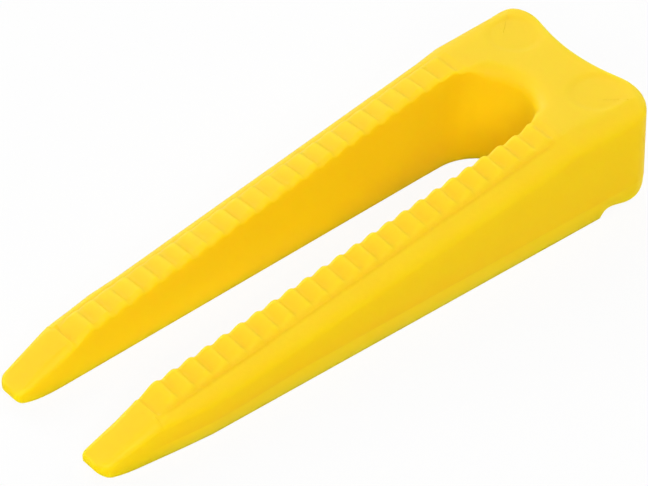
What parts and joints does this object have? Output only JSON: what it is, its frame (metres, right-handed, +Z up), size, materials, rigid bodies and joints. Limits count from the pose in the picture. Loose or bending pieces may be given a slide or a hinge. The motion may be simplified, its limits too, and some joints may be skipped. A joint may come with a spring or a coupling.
{
  "type": "tile levelling wedge",
  "caption": "Moulded plastic fork-shaped wedge with toothed sloping legs and a hollow-backed heel, driven through levelling clips to press floor and wall tiles level.",
  "frame": {"origin": "middle of the bounding box, on the flat base that lies on the tiles", "axes": "+X from the tips to the heel along the length, +Z up from the base, +Y across the legs"},
  "size_m": [0.081, 0.0262, 0.0141],
  "materials": {
    "yellow_polypropylene": "satin moulded"
  },
  "bodies": {
    "root": {"levelling_wedge": "yellow_polypropylene"}
  },
  "joints": []
}
